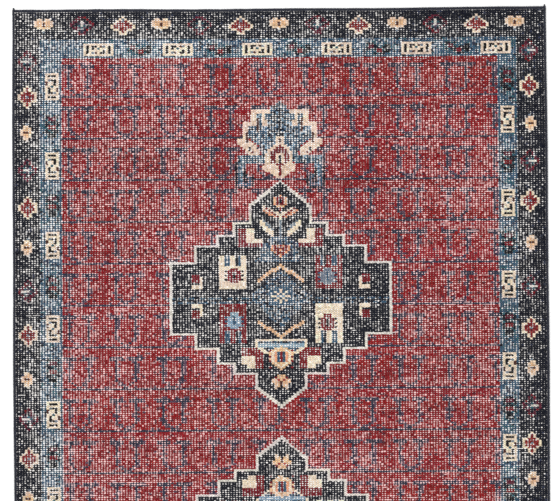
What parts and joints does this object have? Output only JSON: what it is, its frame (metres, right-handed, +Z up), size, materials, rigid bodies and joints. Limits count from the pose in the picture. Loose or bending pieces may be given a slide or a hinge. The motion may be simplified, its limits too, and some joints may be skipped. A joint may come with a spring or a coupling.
{
  "type": "area rug",
  "caption": "Low-pile knotted wool area rug with stepped medallions, two borders and overcast edges; it folds in half across its middle.",
  "frame": {"origin": "middle of the underside, on the floor, at the centre of the rug", "axes": "+X across the rug to its right selvedge, +Y along it to the head end, +Z up through the pile"},
  "size_m": [1.676, 2.604, 0.006],
  "materials": {
    "cotton_ground": "plain-woven undyed cotton warp and weft",
    "cotton_cord": "twisted cotton cord",
    "sewing_thread": "waxed cotton thread",
    "navy_wool": "matt hand-spun wool, worn low pile",
    "blue_wool": "matt hand-spun wool, worn low pile",
    "indigo_wool": "matt hand-spun wool, worn low pile",
    "red_wool": "matt hand-spun wool, worn low pile",
    "madder_wool": "matt hand-spun wool, worn low pile",
    "ivory_wool": "matt hand-spun wool, worn low pile",
    "gold_wool": "matt hand-spun wool, worn low pile"
  },
  "bodies": {
    "foot_half": {"foundation_foot": "cotton_ground", "hem_foot": "cotton_ground", "hem_stitches_foot": "sewing_thread", "end_binding_foot": "navy_wool", "selvedge_cords_left_foot": "cotton_cord", "selvedge_cords_right_foot": "cotton_cord", "selvedge_wrap_left_foot": "navy_wool", "selvedge_wrap_right_foot": "navy_wool", "corner_knots_foot": "navy_wool", "outer_border_foot": "navy_wool", "outer_rosettes_foot": "ivory_wool", "outer_stars_foot": "madder_wool", "outer_flowers_foot": "gold_wool", "inner_border_foot": "blue_wool", "cartouches_foot": "ivory_wool", "latch_motifs_foot": "navy_wool", "field_foot": "red_wool", "field_lattice_foot": "indigo_wool", "pendant_dome_foot": "blue_wool", "pendant_leaves_foot": "ivory_wool", "pendant_shield_foot": "madder_wool", "medallion_outline_foot": "ivory_wool", "medallion_ground_foot": "navy_wool", "medallion_blue_foot": "blue_wool", "medallion_ivory_foot": "ivory_wool", "medallion_red_foot": "madder_wool", "medallion_gold_foot": "gold_wool"},
    "head_half": {"foundation_head": "cotton_ground", "hem_head": "cotton_ground", "hem_stitches_head": "sewing_thread", "end_binding_head": "navy_wool", "selvedge_cords_left_head": "cotton_cord", "selvedge_cords_right_head": "cotton_cord", "selvedge_wrap_left_head": "navy_wool", "selvedge_wrap_right_head": "navy_wool", "corner_knots_head": "navy_wool", "outer_border_head": "navy_wool", "outer_rosettes_head": "ivory_wool", "outer_stars_head": "madder_wool", "outer_flowers_head": "gold_wool", "inner_border_head": "blue_wool", "cartouches_head": "ivory_wool", "latch_motifs_head": "navy_wool", "field_head": "red_wool", "field_lattice_head": "indigo_wool", "pendant_dome_head": "blue_wool", "pendant_leaves_head": "ivory_wool", "pendant_shield_head": "madder_wool", "medallion_outline_head": "ivory_wool", "medallion_ground_head": "navy_wool", "medallion_blue_head": "blue_wool", "medallion_ivory_head": "ivory_wool", "medallion_red_head": "madder_wool", "medallion_gold_head": "gold_wool"}
  },
  "joints": [
    {"name": "half_fold", "type": "hinge", "parent": "foot_half", "child": "head_half", "pos_m": [0, 0, 0.008], "axis": [1, 0, 0], "range_deg": [0, 180]}
  ]
}
